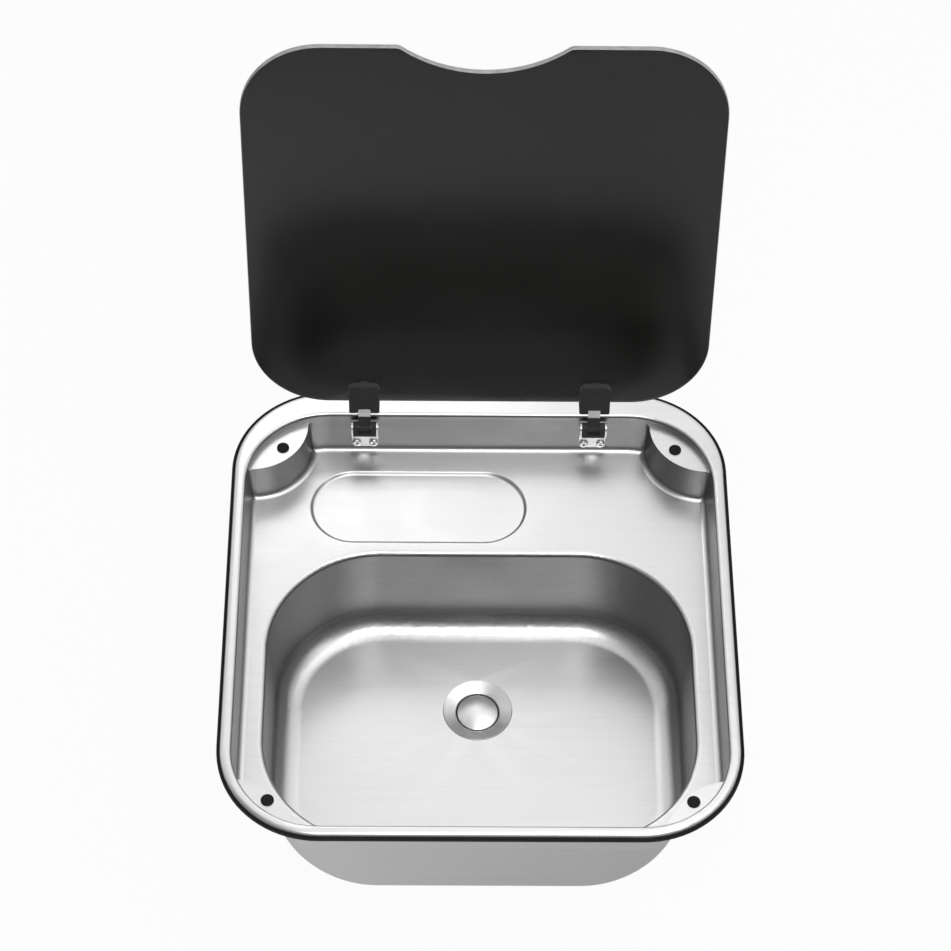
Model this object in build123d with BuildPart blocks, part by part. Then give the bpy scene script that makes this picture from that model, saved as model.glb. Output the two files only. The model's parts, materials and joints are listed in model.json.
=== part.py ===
from build123d import *

import os
from math import cos, hypot, radians, sin, tan

# Drop-in caravan sink with a hinged tinted glass lid.
# Millimetres. The origin is the centre of the rim on the worktop plane, +X to the right,
# +Y to the hinges and +Z up. The lid stands open at rest.

os.makedirs("parts", exist_ok=True)


# ---------------------------------------------------------------- driving dimensions
# rim and seal
overall_w = 420.0
overall_d = 440.0
overall_corner_r = 83.0
rim_top = 5.4
sheet = 0.8
bead_w = 10.0
rear_band = 24.6
outer_roll_r = 4.2
inner_roll_r = 3.2
opening_corner_step = 11.0
seal_lip = 2.0
seal_lip_top = 3.4
seal_base_t = 1.6
seal_base_w = 9.0
seal_gap = 0.1
seal_edge_r = 0.8

# tray, with its corner ledges and tap recess
ledge_z = -3.0
deck_z = -40.0
wall_draft = 4.5
deck_fillet_r = 5.0
lug_blend_r = 4.0
rear_lug_side_inset = 3.5
rear_lug_inset = 5.0
rear_lug_r = 47.5
front_lug_side_overhang = 2.6
front_lug_overhang = 12.0
front_lug_r = 57.3
tap_recess_l = 186.0
tap_recess_w = 75.0
tap_recess_depth = 2.4
tap_recess_x = -51.7
tap_recess_inset = 64.7
tap_recess_draft = 45.0
tap_recess_lip_r = 1.6
tap_recess_foot_r = 2.2

# basin
basin_side_gap = 21.5
basin_rear_gap = 113.9
basin_front_gap = 12.5
basin_corner_r = 94.0
basin_depth = 100.0
basin_draft = 3.0
basin_lip_r = 4.5
basin_fillet_r = 22.0

# lid bumpers
bumper_side_inset = 30.0
bumper_rear_inset = 29.9
bumper_front_inset = 26.0
bumper_head_d = 10.5
bumper_head_h = 1.2
bumper_stem_d = 6.0
bumper_barb_d = 7.6
bumper_barb_h = 2.4
bumper_edge_r = 0.6

# glass lid
glass_side_gap = 5.25
glass_t = 5.0
glass_corner_step = 5.5
glass_front_gap = 3.5
notch_chord = 134.0
notch_depth = 23.0
notch_end_r = 7.0
glass_edge_chamfer = 0.5
glass_hole_d = 10.0
lid_level = 2.7
lid_lead = 27.3
lid_back_lean = 10.8

# hinges
hinge_side_inset = 99.4
pivot_out = 5.7
pivot_drop = 1.65
pin_d = 3.0
pin_head_d = 4.6
pin_head_h = 0.8
bracket_w = 22.8
bracket_t = 1.4
bracket_l = 31.5
bracket_top_drop = 0.2
cheek_r = 4.4
cheek_drop = 8.8
tongue_corner_r = 4.0
base_ear_r = 4.6
base_drop = 9.3
base_edge_r = 0.5
slot_floor_gap = 0.6
knuckle_r = 4.0
arm_w = 10.4
arm_l = 13.7
arm_back = 1.6
arm_front = 2.8
heel_start = 0.2
heel_l = 4.4
leaf_w = 10.2
leaf_t = 1.2
leaf_level = 0.8
leaf_start = 5.4
leaf_end = 39.5
leaf_corner_r = 1.0
clamp_w = 26.0
clamp_edge_l = 9.0
clamp_over_l = 21.5
clamp_foot_gap = 0.8
clamp_front_t = 5.5
clamp_cap_t = 3.0
clamp_top_r = 5.0
clamp_low_r = 1.5
clamp_edge_r = 0.9
clamp_window_l = 4.7
clamp_window_w = 10.6
rib_w = 8.0
rib_l = 7.5
rib_h = 0.7
rib_start = 12.0
rib_corner_r = 3.0
rib_edge_r = 0.56
boss_d = 8.6
clamp_screw_inset = 5.8
gasket_t = 0.5
gasket_inset = 0.6
bush_d = 9.6

# screws, washers and nuts
screw_d = 4.0
screw_head_d = 7.6
screw_head_h = 2.2
screw_dome_r = 1.32
screw_l = 9.0
screw_pitch = 14.6
screw_drop = 26.3
recess_w = 1.1
recess_l = 4.6
recess_depth = 1.2
washer_d = 9.0
washer_t = 0.8
nut_af = 7.0
nut_h = 3.2
clamp_head_d = 7.4
clamp_head_h = 1.8
clamp_dome_r = 1.08
clamp_thread_l = 4.4

# waste fitting and plug
waste_back = 44.0
well_r = 30.3
well_step = 1.6
well_side_angle = 60.0
dish_drop = 3.0
hole_r = 20.4
flange_r = 29.2
flange_t = 1.0
flange_edge_r = 1.2
tube_r = 20.0
tube_wall = 1.4
tube_l = 30.0
seat_drop = 8.5
seat_w = 2.2
seat_h = 3.0
top_seal_t = 0.5
top_seal_r = 28.6
strainer_drop = 18.0
strainer_t = 1.4
strainer_hole_d = 7.0
strainer_holes = 6
strainer_pitch_r = 11.0
guide_r = 5.0
guide_h = 6.0
low_seal_r = 28.5
low_seal_t = 3.0
back_nut_r = 26.0
back_nut_h = 6.5
nut_lugs = 8
nut_lug_r = 3.0
outlet_washer_t = 1.0
cup_flange_r = 21.6
cup_flange_t = 3.0
cup_wall = 2.0
cup_r = 16.5
cup_funnel_h = 14.0
spigot_r = 12.5
spigot_l = 27.0
union_r = 25.0
union_grip = 8.0
union_lip = 2.5
union_rib_r = 1.6
plug_r = 17.5
plug_crown = 3.2
plug_edge_h = 2.2
plug_rim_r = 1.0
plug_seal_t = 1.8
plug_seal_r = 18.2
plug_boss_r = 10.0
plug_foot_r = 14.5
plug_foot_t = 1.4
stem_r = 3.0
stem_l = 24.0
stem_stud_r = 2.0
stem_stud_l = 3.4

# clearances
running_fit = 0.05
static_fit = 0.02
hole_fit = 0.1
stop_gap = 0.05
side_gap = 0.2
soft_gap = 0.3
touch = 0.01


# ---------------------------------------------------------------- derived sizes
rim_w = overall_w - 2 * seal_lip
rim_d = overall_d - 2 * seal_lip
rim_corner_r = overall_corner_r - seal_lip
opening_w = rim_w - 2 * bead_w
opening_front_y = -rim_d / 2 + bead_w
opening_rear_y = rim_d / 2 - rear_band
opening_d = opening_rear_y - opening_front_y
opening_y = (opening_rear_y + opening_front_y) / 2
opening_corner_r = rim_corner_r - opening_corner_step
basin_w = opening_w - 2 * basin_side_gap
basin_front_y = opening_front_y + basin_front_gap
basin_rear_y = opening_rear_y - basin_rear_gap
basin_d = basin_rear_y - basin_front_y
basin_y = (basin_rear_y + basin_front_y) / 2
basin_floor_z = deck_z - basin_depth
tap_recess_y = opening_rear_y - tap_recess_inset
waste_y = basin_y + waste_back
past_sheet = 2 * sheet

# the corner ledges are lugs whose round edges swing about points near the tray's corners
rear_lug_x = opening_w / 2 - rear_lug_side_inset
front_lug_x = opening_w / 2 + front_lug_side_overhang
lugs = (
    (rear_lug_x, opening_rear_y - rear_lug_inset, rear_lug_r),
    (front_lug_x, opening_front_y - front_lug_overhang, front_lug_r),
)
bumper_x = opening_w / 2 - bumper_side_inset
bumper_front_y = opening_front_y + bumper_front_inset
bumper_rear_y = opening_rear_y - bumper_rear_inset
bumper_spots = {
    "front_left": (-bumper_x, bumper_front_y),
    "front_right": (bumper_x, bumper_front_y),
    "rear_left": (-bumper_x, bumper_rear_y),
    "rear_right": (bumper_x, bumper_rear_y),
}
hinge_x = opening_w / 2 - hinge_side_inset
screw_spots = [
    (hinge_at + reach, -screw_drop)
    for hinge_at in (-hinge_x, hinge_x)
    for reach in (-screw_pitch / 2, screw_pitch / 2)
]

# the rear wall leans with the draft, so the hinges are set out on its own plane
wall_sin = sin(radians(wall_draft))
wall_cos = cos(radians(wall_draft))
pivot_y = opening_rear_y - pivot_out * wall_cos - pivot_drop * wall_sin
pivot_z = ledge_z + pivot_out * wall_sin - pivot_drop * wall_cos
wall_top = (0, opening_rear_y, ledge_z)
wall_out = (0, -wall_cos, wall_sin)
wall_face = Plane(wall_top, x_dir=(1, 0, 0), z_dir=wall_out)
wall_side = Plane(wall_top, x_dir=wall_out, z_dir=(-1, 0, 0))
rear_wall_t = sheet * (wall_cos + wall_sin)

# the open lid leans back past upright; on its planes y runs along the lid from the pivot
lean_sin = sin(radians(lid_back_lean))
lean_cos = cos(radians(lid_back_lean))
pivot = (0, pivot_y, pivot_z)
lid_face = Plane(pivot, x_dir=(1, 0, 0), z_dir=(0, -lean_cos, lean_sin))
lid_side = Plane(pivot, x_dir=(0, lean_sin, lean_cos), z_dir=(1, 0, 0))
lid_axis = Axis(lid_face.origin, lid_face.z_dir)
lid_back = Plane(lid_face.origin, x_dir=(1, 0, 0), z_dir=-lid_face.z_dir)
glass_w = opening_w - 2 * glass_side_gap
glass_corner_r = opening_corner_r - glass_corner_step
glass_far = pivot_y - opening_front_y - glass_front_gap
notch_r = (notch_chord**2 / 4 + notch_depth**2) / (2 * notch_depth)
clamp_start = lid_lead - clamp_edge_l
clamp_end = lid_lead + clamp_over_l
clamp_inner = gasket_t - lid_level
clamp_outer = -lid_level - glass_t - gasket_t
clamp_back = clamp_outer - clamp_cap_t
clamp_top = clamp_inner + clamp_front_t
clamp_screw_u = clamp_end - clamp_screw_inset

# the waste sits in a pressed well whose dished floor runs down to the hole
well_blend = tan(radians(well_side_angle / 2))
well_floor_r = well_r - well_step / tan(radians(well_side_angle))
dish_slope = dish_drop / (well_floor_r - hole_r)
bore_r = tube_r - tube_wall
dish_low_z = basin_floor_z - well_step - dish_drop
tube_end_z = dish_low_z - tube_l
low_seal_z = dish_low_z - sheet - low_seal_t
strainer_z = basin_floor_z - strainer_drop
cup_top_z = tube_end_z - outlet_washer_t
outlet_z = cup_top_z - cup_flange_t - cup_funnel_h - spigot_l
seat_z = basin_floor_z - seat_drop
plug_edge_z = seat_z + soft_gap + plug_seal_t
waste_axis = Axis((0, waste_y, 0), (0, 0, 1))
waste_side = Plane(origin=(0, waste_y, 0), x_dir=(1, 0, 0), z_dir=(0, -1, 0))


# ---------------------------------------------------------------- sink pan
hanging = (Align.CENTER, Align.CENTER, Align.MAX)
standing = (Align.CENTER, Align.CENTER, Align.MIN)


def near_z(edges, level):
    """Edges that lie flat at one height."""
    return edges.filter_by_position(Axis.Z, level - touch, level + touch)


def on_a_lug(point, skin):
    """Whether a corner of the tray outline lies on one of the lug circles."""
    return any(
        abs(hypot(abs(point.X) - lug_x, point.Y - lug_y) - lug_round + skin) < touch
        for lug_x, lug_y, lug_round in lugs
    )


def on_basin_outline(edge, skin):
    """Whether an edge belongs to the basin's outline in the deck."""
    box = edge.bounding_box()
    reach = skin + touch
    across = max(abs(box.min.X), abs(box.max.X)) <= basin_w / 2 + reach
    return across and basin_front_y - reach <= box.min.Y and box.max.Y <= basin_rear_y + reach


def on_recess_outline(edge):
    """Whether an edge belongs to the tap recess pressed in the deck."""
    box = edge.bounding_box()
    in_length = abs(box.min.X - tap_recess_x) <= tap_recess_l / 2 + touch
    in_width = abs(box.min.Y - tap_recess_y) <= tap_recess_w / 2 + touch
    return in_length and in_width


def tray_void(skin):
    """Space of the tray between the ledges and the deck, its faces moved out by skin."""
    with BuildPart() as void:
        with BuildSketch(Plane.XY.offset(ledge_z - skin)) as outline:
            with Locations((0, opening_y)):
                RectangleRounded(opening_w + 2 * skin, opening_d + 2 * skin, opening_corner_r + skin)
            for lug_x, lug_y, lug_round in lugs:
                with Locations((lug_x, lug_y), (-lug_x, lug_y)):
                    Circle(lug_round - skin, mode=Mode.SUBTRACT)
            tips = outline.vertices().filter_by(lambda point: on_a_lug(point, skin))
            fillet(tips, lug_blend_r + skin)
        extrude(amount=ledge_z - deck_z, dir=(0, 0, -1), taper=wall_draft)
        fillet(void.faces().sort_by(Axis.Z)[0].edges(), deck_fillet_r + skin)
    return void.part


def basin_void(skin):
    """Space of the basin below the deck, its faces moved out by skin."""
    with BuildPart() as void:
        with BuildSketch(Plane.XY.offset(deck_z - skin)):
            with Locations((0, basin_y)):
                RectangleRounded(basin_w + 2 * skin, basin_d + 2 * skin, basin_corner_r + skin)
        extrude(amount=basin_depth, dir=(0, 0, -1), taper=basin_draft)
        fillet(void.faces().sort_by(Axis.Z)[0].edges(), basin_fillet_r + skin)
    return void.part


def well_void(skin):
    """Space of the pressed well round the waste hole, its faces moved out by skin."""
    side = skin * well_blend
    with BuildPart() as void:
        with Locations((0, waste_y, basin_floor_z - skin)):
            Cone(well_floor_r + side, well_r + side, well_step, align=hanging)
        with Locations((0, waste_y, basin_floor_z - well_step - skin)):
            Cone(hole_r + side, well_floor_r + side, dish_drop, align=hanging)
    return void.part


def under_skin(skin):
    """Everything below the wet face (skin 0) or below the dry face (skin = sheet)."""
    tray, basin, well = tray_void(skin), basin_void(skin), well_void(skin)
    with BuildPart() as under:
        with BuildSketch(Plane.XY.offset(rim_top - skin)):
            RectangleRounded(rim_w - 2 * skin, rim_d - 2 * skin, rim_corner_r - skin)
        extrude(amount=tube_end_z - rim_top - skin)
        fillet(under.faces().sort_by(Axis.Z)[-1].edges(), outer_roll_r - skin)
        with BuildSketch(Plane.XY.offset(rim_top - skin)):
            with Locations((0, opening_y)):
                RectangleRounded(opening_w + 2 * skin, opening_d + 2 * skin, opening_corner_r + skin)
        extrude(amount=ledge_z - rim_top, mode=Mode.SUBTRACT)
        top = under.faces().filter_by(Plane.XY).sort_by(Axis.Z)[-1]
        fillet(top.inner_wires()[0].edges(), inner_roll_r - skin)
        add(tray, mode=Mode.SUBTRACT)
        add(basin, mode=Mode.SUBTRACT)
        deck_edges = near_z(under.edges(), deck_z - skin)
        fillet(deck_edges.filter_by(lambda edge: on_basin_outline(edge, skin)), basin_lip_r - skin)
        with BuildSketch(Plane.XY.offset(deck_z - skin)):
            with Locations((tap_recess_x, tap_recess_y)):
                SlotOverall(tap_recess_l, tap_recess_w)
        extrude(amount=tap_recess_depth, dir=(0, 0, -1), taper=tap_recess_draft, mode=Mode.SUBTRACT)
        recess_lip = near_z(under.edges(), deck_z - skin).filter_by(on_recess_outline)
        fillet(recess_lip, tap_recess_lip_r - skin)
        fillet(near_z(under.edges(), deck_z - skin - tap_recess_depth), tap_recess_foot_r + skin)
        add(well, mode=Mode.SUBTRACT)
    return under.part


wet_side, dry_side = under_skin(0), under_skin(sheet)
with BuildPart() as sink_pan:
    add(wet_side)
    add(dry_side, mode=Mode.SUBTRACT)
    with BuildSketch(Plane.XY.offset(seal_base_t)):
        Rectangle(overall_w, overall_d)
        with Locations((0, opening_y)):
            RectangleRounded(
                opening_w + 2 * past_sheet,
                opening_d + 2 * past_sheet,
                opening_corner_r + past_sheet,
                mode=Mode.SUBTRACT,
            )
    extrude(amount=2 * tube_end_z, mode=Mode.SUBTRACT)
    with Locations((0, waste_y, dish_low_z)):
        Cylinder(hole_r, 2 * dish_drop, mode=Mode.SUBTRACT)
    with Locations(*[(x, y, ledge_z) for x, y in bumper_spots.values()]):
        Cylinder(bumper_stem_d / 2 + hole_fit, 2 * past_sheet, mode=Mode.SUBTRACT)
    with BuildSketch(wall_face):
        with Locations(*screw_spots):
            Circle(screw_d / 2 + hole_fit)
    extrude(amount=past_sheet, both=True, mode=Mode.SUBTRACT)
sink_pan.part.label = "sink_pan"
export_step(sink_pan.part, "parts/sink_pan.step")


# ---------------------------------------------------------------- rim seal and lid bumpers
with BuildPart() as rim_seal:
    with BuildSketch():
        RectangleRounded(overall_w, overall_d, overall_corner_r)
        RectangleRounded(
            overall_w - 2 * seal_base_w,
            overall_d - 2 * seal_base_w,
            overall_corner_r - seal_base_w,
            mode=Mode.SUBTRACT,
        )
    extrude(amount=seal_base_t)
    with BuildSketch(Plane.XY.offset(seal_base_t)):
        RectangleRounded(overall_w, overall_d, overall_corner_r)
        RectangleRounded(
            rim_w + 2 * seal_gap, rim_d + 2 * seal_gap, rim_corner_r + seal_gap, mode=Mode.SUBTRACT
        )
    extrude(amount=seal_lip_top - seal_base_t)
    lip_top = rim_seal.faces().filter_by(Plane.XY).sort_by(Axis.Z)[-1]
    fillet(lip_top.outer_wire().edges(), seal_edge_r)
rim_seal.part.label = "rim_seal"
export_step(rim_seal.part, "parts/rim_seal.step")

for place, (spot_x, spot_y) in bumper_spots.items():
    with BuildPart(Plane((spot_x, spot_y, ledge_z))) as bumper:
        Cylinder(bumper_head_d / 2, bumper_head_h, align=standing)
        fillet(bumper.faces().sort_by(Axis.Z)[-1].edges(), bumper_edge_r)
        Cylinder(bumper_stem_d / 2, sheet + bumper_barb_h, align=hanging)
        with Locations((0, 0, -sheet)):
            Cone(bumper_stem_d / 2, bumper_barb_d / 2, bumper_barb_h, align=hanging)
    bumper.part.label = f"{place}_bumper"
    export_step(bumper.part, f"parts/{place}_bumper.step")


# ---------------------------------------------------------------- glass lid
with BuildPart() as glass_lid:
    with BuildSketch(lid_face.offset(-lid_level)) as pane:
        with Locations((0, (lid_lead + glass_far) / 2)):
            RectangleRounded(glass_w, glass_far - lid_lead, glass_corner_r)
        with Locations((0, glass_far - notch_depth + notch_r)):
            Circle(notch_r, mode=Mode.SUBTRACT)
        notch_ends = pane.vertices().filter_by(lambda point: abs(abs(point.X) - notch_chord / 2) < touch)
        fillet(notch_ends, notch_end_r)
    extrude(amount=-glass_t)
    chamfer(glass_lid.faces().filter_by(lid_axis).edges(), glass_edge_chamfer)
    with BuildSketch(lid_face.offset(-lid_level)):
        with Locations((-hinge_x, clamp_screw_u), (hinge_x, clamp_screw_u)):
            Circle(glass_hole_d / 2)
    extrude(amount=-glass_t, mode=Mode.SUBTRACT)
glass_lid.part.label = "glass_lid"
export_step(glass_lid.part, "parts/glass_lid.step")


# ---------------------------------------------------------------- screws shared by the hinges
def pan_screw(head_d, head_h, dome_r, shank_l):
    """Pan-head screw with a cross recess, its head standing on the origin."""
    with BuildPart() as screw:
        Cylinder(head_d / 2, head_h, align=standing)
        fillet(screw.faces().sort_by(Axis.Z)[-1].edges(), dome_r)
        Cylinder(screw_d / 2, shank_l, align=hanging)
        for turn in (0, 90):
            with Locations(Location((0, 0, head_h), (0, 0, turn))):
                Box(recess_l, recess_w, 2 * recess_depth, mode=Mode.SUBTRACT)
    return screw.part


hinge_screw = pan_screw(screw_head_d, screw_head_h, screw_dome_r, screw_l)
with BuildPart(wall_face.offset(bracket_t)) as hinge_screws:
    with Locations(*screw_spots):
        add(hinge_screw)
hinge_screws.part.label = "hinge_screws"
export_step(hinge_screws.part, "parts/hinge_screws.step")

with BuildPart() as hinge_washers:
    with BuildSketch(wall_face.offset(-rear_wall_t)):
        with Locations(*screw_spots):
            Circle(washer_d / 2)
            Circle(screw_d / 2 + hole_fit, mode=Mode.SUBTRACT)
    extrude(amount=-washer_t)
hinge_washers.part.label = "hinge_washers"
export_step(hinge_washers.part, "parts/hinge_washers.step")

with BuildPart() as hinge_nuts:
    with BuildSketch(wall_face.offset(-rear_wall_t - washer_t)):
        with Locations(*screw_spots):
            RegularPolygon(nut_af / 2, 6, major_radius=False)
            Circle(screw_d / 2 + static_fit, mode=Mode.SUBTRACT)
    extrude(amount=-nut_h)
hinge_nuts.part.label = "hinge_nuts"
export_step(hinge_nuts.part, "parts/hinge_nuts.step")


# ---------------------------------------------------------------- hinges
def clamp_outline(start, inset):
    """Outline of a clamp piece on the lid, from start to the clamp's far end."""
    with BuildSketch() as outline:
        with Locations((0, (start + clamp_end) / 2)):
            Rectangle(clamp_w - 2 * inset, clamp_end - start - 2 * inset)
        fillet(outline.vertices().group_by(Axis.Y)[-1], clamp_top_r - inset)
        fillet(outline.vertices().group_by(Axis.Y)[0], clamp_low_r)
    return outline.sketch


full_outline = clamp_outline(clamp_start, 0)
gasket_outline = clamp_outline(lid_lead, gasket_inset)
clamp_screw_l = clamp_inner - clamp_back + clamp_thread_l - hole_fit
clamp_screw = pan_screw(clamp_head_d, clamp_head_h, clamp_dome_r, clamp_screw_l)

for side, hinge_at in (("left", -hinge_x), ("right", hinge_x)):
    on_wall, beside_wall, on_lid, beside_lid = (
        Plane(plane.origin + Vector(hinge_at, 0, 0), plane.x_dir, plane.z_dir)
        for plane in (wall_face, wall_side, lid_face, lid_side)
    )

    # pressed steel bracket: a tongue on the wall and two cheeks that hold the pin
    with BuildPart() as bracket:
        with BuildSketch(on_wall) as tongue:
            with Locations((0, -(bracket_top_drop + bracket_l) / 2)):
                Rectangle(bracket_w, bracket_l - bracket_top_drop)
            fillet(tongue.vertices().group_by(Axis.Y)[0], tongue_corner_r)
            with Locations((-screw_pitch / 2, -screw_drop), (screw_pitch / 2, -screw_drop)):
                Circle(screw_d / 2 + hole_fit, mode=Mode.SUBTRACT)
        extrude(amount=bracket_t)
        with BuildSketch(beside_wall):
            with Locations((pivot_out, -pivot_drop)):
                Circle(cheek_r)
            Polygon(
                (0, -pivot_drop),
                (pivot_out + cheek_r, -pivot_drop),
                (pivot_out + cheek_r, -cheek_drop),
                (0, -cheek_drop),
                align=None,
            )
            with Locations((pivot_out, -pivot_drop)):
                Circle(pin_d / 2 + static_fit, mode=Mode.SUBTRACT)
        extrude(amount=bracket_w / 2, both=True)
        with BuildSketch(beside_wall):
            with Locations((bracket_t, -bracket_l / 2)):
                Rectangle(bracket_w, 2 * bracket_l, align=(Align.MIN, Align.CENTER))
        extrude(amount=bracket_w / 2 - bracket_t, both=True, mode=Mode.SUBTRACT)
    bracket.part.label = f"{side}_bracket"
    export_step(bracket.part, f"parts/{side}_bracket.step")

    # moulded base block between the cheeks, slotted for the arm
    with BuildPart() as base_block:
        with BuildSketch(beside_wall):
            with Locations((pivot_out, -pivot_drop)):
                Circle(base_ear_r)
            with Locations((pivot_out, -pivot_drop)):
                Rectangle(2 * base_ear_r, base_drop - pivot_drop, align=(Align.CENTER, Align.MAX))
            with Locations((bracket_t + hole_fit, 0)):
                Rectangle(base_drop, 4 * base_drop, align=(Align.MAX, Align.CENTER), mode=Mode.SUBTRACT)
        extrude(amount=bracket_w / 2 - bracket_t - hole_fit, both=True)
        fillet(base_block.faces().filter_by(Axis.X).edges(), base_edge_r)
        with BuildSketch(beside_wall):
            with Locations((0, -pivot_drop - knuckle_r - slot_floor_gap)):
                Rectangle(4 * base_ear_r, 4 * base_ear_r, align=(Align.MIN, Align.MIN))
        extrude(amount=arm_w / 2 + side_gap, both=True, mode=Mode.SUBTRACT)
        with BuildSketch(beside_wall):
            with Locations((pivot_out, -pivot_drop)):
                Circle(pin_d / 2 + static_fit)
        extrude(amount=bracket_w, both=True, mode=Mode.SUBTRACT)
    base_block.part.label = f"{side}_base_block"
    export_step(base_block.part, f"parts/{side}_base_block.step")

    # riveted pin on the pivot line
    with BuildPart(beside_lid) as pin:
        Cylinder(pin_d / 2, bracket_w)
        head_at = (bracket_w + pin_head_h) / 2
        with Locations((0, 0, -head_at), (0, 0, head_at)):
            Cylinder(pin_head_d / 2, pin_head_h)
        fillet(pin.edges().group_by(Axis.X)[0] + pin.edges().group_by(Axis.X)[-1], pin_head_h / 2)
    pin.part.label = f"{side}_pin"
    export_step(pin.part, f"parts/{side}_pin.step")

    # arm that turns on the pin; its heel meets the bracket and stops the open lid
    with BuildPart() as arm:
        with BuildSketch(beside_lid):
            Circle(knuckle_r)
            with Locations((0, -arm_back)):
                Rectangle(arm_l, arm_back + arm_front, align=(Align.MIN, Align.MIN))
        extrude(amount=arm_w / 2, both=True)
        with BuildSketch(beside_wall):
            with Locations((bracket_t + stop_gap, heel_start - pivot_drop)):
                Rectangle(pivot_out - bracket_t - stop_gap, heel_l, align=(Align.MIN, Align.MIN))
        extrude(amount=arm_w / 2, both=True)
        with BuildSketch(beside_lid):
            Circle(pin_d / 2 + running_fit)
            with Locations((leaf_start - static_fit, leaf_level - static_fit)):
                Rectangle(arm_l, leaf_t + 2 * static_fit, align=(Align.MIN, Align.MIN))
        extrude(amount=arm_w, both=True, mode=Mode.SUBTRACT)
    arm.part.label = f"{side}_arm"
    export_step(arm.part, f"parts/{side}_arm.step")

    # steel leaf from the arm into the clamp
    with BuildPart() as leaf:
        with BuildSketch(on_lid.offset(leaf_level)):
            with Locations((0, (leaf_start + leaf_end) / 2)):
                RectangleRounded(leaf_w, leaf_end - leaf_start, leaf_corner_r)
        extrude(amount=leaf_t)
    leaf.part.label = f"{side}_leaf"
    export_step(leaf.part, f"parts/{side}_leaf.step")

    # clamp block under the glass, with a foot round its edge
    with BuildPart() as clamp_block:
        with BuildSketch(on_lid.offset(clamp_inner)):
            add(full_outline)
        extrude(amount=clamp_front_t)
        fillet(clamp_block.faces().filter_by(lid_axis).sort_by(lid_axis)[-1].edges(), clamp_edge_r)
        with BuildSketch(on_lid.offset(clamp_outer)) as foot:
            with Locations((0, clamp_start)):
                Rectangle(
                    clamp_w, clamp_edge_l - clamp_foot_gap, align=(Align.CENTER, Align.MIN)
                )
            fillet(foot.vertices().group_by(Axis.Y)[0], clamp_low_r)
        extrude(amount=clamp_inner - clamp_outer)
        with BuildSketch(on_lid.offset(clamp_top)):
            with Locations((0, clamp_start + rib_start + rib_l / 2)):
                RectangleRounded(rib_w, rib_l, rib_corner_r)
            with Locations((0, clamp_screw_u)):
                Circle(boss_d / 2)
        extrude(amount=rib_h)
        fillet(clamp_block.faces().filter_by(lid_axis).sort_by(lid_axis)[-2:].edges(), rib_edge_r)
        with BuildSketch(on_lid.offset(leaf_level - static_fit)):
            with Locations((0, clamp_start)):
                Rectangle(clamp_window_w, clamp_window_l, align=(Align.CENTER, Align.MIN))
        extrude(amount=clamp_front_t, mode=Mode.SUBTRACT)
        with BuildSketch(on_lid.offset(leaf_level - static_fit)):
            with Locations((0, clamp_start)):
                Rectangle(
                    leaf_w + 2 * static_fit,
                    leaf_end - clamp_start + static_fit,
                    align=(Align.CENTER, Align.MIN),
                )
        extrude(amount=leaf_t + 2 * static_fit, mode=Mode.SUBTRACT)
        with BuildSketch(on_lid.offset(clamp_inner)):
            with Locations((0, clamp_screw_u)):
                Circle(screw_d / 2 + static_fit)
        extrude(amount=clamp_thread_l, mode=Mode.SUBTRACT)
    clamp_block.part.label = f"{side}_clamp_block"
    export_step(clamp_block.part, f"parts/{side}_clamp_block.step")

    # clamp cap over the glass
    with BuildPart() as clamp_cap:
        with BuildSketch(on_lid.offset(clamp_outer)):
            add(full_outline)
        extrude(amount=-clamp_cap_t)
        fillet(clamp_cap.faces().filter_by(lid_axis).sort_by(lid_axis)[0].edges(), clamp_edge_r)
        with BuildSketch(on_lid.offset(clamp_outer)):
            with Locations((0, clamp_screw_u)):
                Circle(screw_d / 2 + hole_fit)
        extrude(amount=-clamp_cap_t, mode=Mode.SUBTRACT)
    clamp_cap.part.label = f"{side}_clamp_cap"
    export_step(clamp_cap.part, f"parts/{side}_clamp_cap.step")

    # one gasket each side of the glass
    for layer, level in (("inner", -lid_level), ("outer", clamp_outer)):
        with BuildPart() as gasket:
            with BuildSketch(on_lid.offset(level)):
                add(gasket_outline)
                with Locations((0, clamp_screw_u)):
                    Circle(bush_d / 2 + hole_fit, mode=Mode.SUBTRACT)
            extrude(amount=gasket_t)
        gasket.part.label = f"{side}_{layer}_gasket"
        export_step(gasket.part, f"parts/{side}_{layer}_gasket.step")

    # bush that lines the hole in the glass
    with BuildPart() as bush:
        with BuildSketch(on_lid.offset(clamp_outer)):
            with Locations((0, clamp_screw_u)):
                Circle(bush_d / 2)
                Circle(screw_d / 2 + hole_fit, mode=Mode.SUBTRACT)
        extrude(amount=clamp_inner - clamp_outer)
    bush.part.label = f"{side}_bush"
    export_step(bush.part, f"parts/{side}_bush.step")


# the two clamp screws go in from the top of the closed lid
with BuildPart(lid_back.offset(-clamp_back)) as clamp_screws:
    with Locations((-hinge_x, -clamp_screw_u), (hinge_x, -clamp_screw_u)):
        add(clamp_screw)
clamp_screws.part.label = "clamp_screws"
export_step(clamp_screws.part, "parts/clamp_screws.step")


# ---------------------------------------------------------------- waste fitting
def dish_z(radius):
    """Height of the pan's dished face at a radius round the waste hole."""
    return basin_floor_z - well_step - (well_floor_r - radius) * dish_slope


def under_dish_z(radius):
    """Height of the pan's underside below the dish."""
    return dish_z(radius) - sheet - sheet * well_blend * dish_slope


with BuildPart() as waste_top_seal:
    with BuildSketch(waste_side):
        Polygon(
            (hole_r, dish_z(hole_r)),
            (top_seal_r, dish_z(top_seal_r)),
            (top_seal_r, dish_z(top_seal_r) + top_seal_t),
            (hole_r, dish_z(hole_r) + top_seal_t),
            align=None,
        )
    revolve(axis=waste_axis)
waste_top_seal.part.label = "waste_top_seal"
export_step(waste_top_seal.part, "parts/waste_top_seal.step")

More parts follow.
